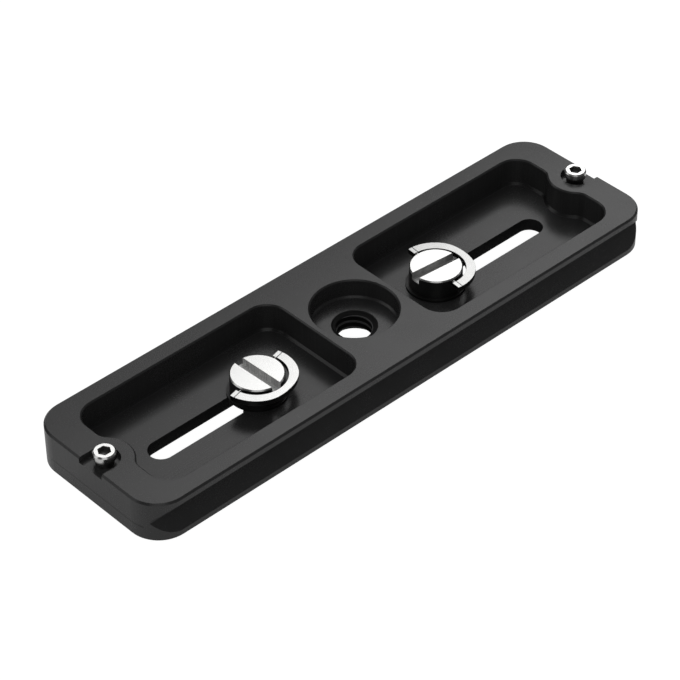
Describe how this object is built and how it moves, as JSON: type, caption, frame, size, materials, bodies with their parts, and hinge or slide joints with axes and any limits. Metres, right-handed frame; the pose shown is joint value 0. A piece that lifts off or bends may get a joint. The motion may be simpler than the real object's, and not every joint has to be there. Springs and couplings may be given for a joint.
{
  "type": "tripod quick release plate",
  "caption": "Long black dovetail plate with two pockets, sliding camera screws that have folding rings, and a threaded tripod hole in a round well",
  "frame": {"origin": "centre of the plate's camera face, on the axis of the tripod hole", "axes": "+X along the plate, +Y across it, +Z from the camera face to the face that the clamp holds"},
  "size_m": [0.14, 0.038, 0.0164],
  "materials": {
    "anodised_aluminium": "satin black anodised",
    "polished_steel": "bright, turned and polished",
    "black_washer": "matt black",
    "grip_rubber": "matt black"
  },
  "bodies": {
    "plate": {"plate": "anodised_aluminium", "stop_screw_left": "polished_steel", "stop_screw_right": "polished_steel", "grip_strip_front": "grip_rubber", "grip_strip_back": "grip_rubber"},
    "left_washer": {"screw_washer_left": "black_washer"},
    "left_screw": {"camera_screw_left": "polished_steel"},
    "left_ring": {"d_ring_left": "polished_steel"},
    "right_washer": {"screw_washer_right": "black_washer"},
    "right_screw": {"camera_screw_right": "polished_steel"},
    "right_ring": {"d_ring_right": "polished_steel"}
  },
  "joints": [
    {"name": "left_screw_slide", "type": "slide", "parent": "plate", "child": "left_washer", "axis": [-1, 0, 0], "range_m": [-0.0037, 0.0246]},
    {"name": "left_screw_turn", "type": "hinge", "parent": "left_washer", "child": "left_screw", "pos_m": [-0.0269, 0, 0.0035], "axis": [0, 0, 1], "continuous": true},
    {"name": "left_ring_fold", "type": "hinge", "parent": "left_screw", "child": "left_ring", "pos_m": [-0.0269, 0, 0.007], "axis": [-0.9744, -0.225, 0], "range_deg": [0, 180]},
    {"name": "right_screw_slide", "type": "slide", "parent": "plate", "child": "right_washer", "axis": [1, 0, 0], "range_m": [-0.0004, 0.0279]},
    {"name": "right_screw_turn", "type": "hinge", "parent": "right_washer", "child": "right_screw", "pos_m": [0.0236, 0, 0.0035], "axis": [0, 0, 1], "continuous": true},
    {"name": "right_ring_fold", "type": "hinge", "parent": "right_screw", "child": "right_ring", "pos_m": [0.0236, 0, 0.007], "axis": [-0.0941, -0.9956, 0], "range_deg": [0, 180]}
  ]
}
